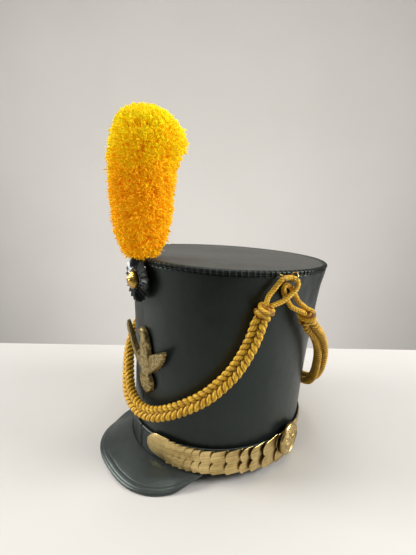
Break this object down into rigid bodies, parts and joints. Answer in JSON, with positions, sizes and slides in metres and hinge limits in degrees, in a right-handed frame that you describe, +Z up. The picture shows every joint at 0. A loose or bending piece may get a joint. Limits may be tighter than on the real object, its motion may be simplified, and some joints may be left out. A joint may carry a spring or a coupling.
{
  "type": "shako hat",
  "caption": "Tall black leather shako with a stiff peak, overlapping brass chin scales, an eagle plate, a pleated cockade, a yellow wool plume and plaited cap cords.",
  "frame": {"origin": "on the ground plane under the centre of the head opening, which is also the middle of the hat's length and width", "axes": "+Z up, -Y the front with the peak, cockade and eagle, +X the wearer's left"},
  "size_m": [0.2486, 0.2787, 0.3613],
  "materials": {
    "black_leather": "waxed, slightly glossy",
    "top_leather": "dull",
    "brass": "brushed",
    "aged_brass": "aged, granular",
    "gold_cord": "plaited cord",
    "yellow_wool": "wool tufts",
    "gilt_strip": "gilt"
  },
  "bodies": {
    "root": {"back_cord_knot_left": "gold_cord", "back_cord_knot_right": "gold_cord", "back_cord_loop_left": "gold_cord", "back_cord_loop_right": "gold_cord", "back_cord_plait": "gold_cord", "back_strip": "gilt_strip", "boss_left": "brass", "boss_right": "brass", "cockade": "black_leather", "cockade_button": "brass", "cord_ring_left_back": "brass", "cord_ring_left_front": "brass", "cord_ring_right_back": "brass", "cord_ring_right_front": "brass", "crown_top": "top_leather", "crown_wall": "black_leather", "eagle_plate": "aged_brass", "front_cord_knot_left": "gold_cord", "front_cord_knot_right": "gold_cord", "front_cord_loop_left": "gold_cord", "front_cord_loop_right": "gold_cord", "front_cord_plait": "gold_cord", "lower_band": "black_leather", "peak": "black_leather", "plume": "yellow_wool", "plume_stem": "brass", "scale_end_plate_left": "brass", "scale_end_plate_right": "brass", "scale_plate_left_01": "brass", "scale_plate_left_02": "brass", "scale_plate_left_03": "brass", "scale_plate_left_04": "brass", "scale_plate_left_05": "brass", "scale_plate_left_06": "brass", "scale_plate_left_07": "brass", "scale_plate_left_08": "brass", "scale_plate_left_09": "brass", "scale_plate_left_10": "brass", "scale_plate_left_11": "brass", "scale_plate_right_01": "brass", "scale_plate_right_02": "brass", "scale_plate_right_03": "brass", "scale_plate_right_04": "brass", "scale_plate_right_05": "brass", "scale_plate_right_06": "brass", "scale_strap_left": "black_leather", "scale_strap_right": "black_leather", "scale_tip_left": "brass", "scale_tip_right": "brass"}
  },
  "joints": []
}
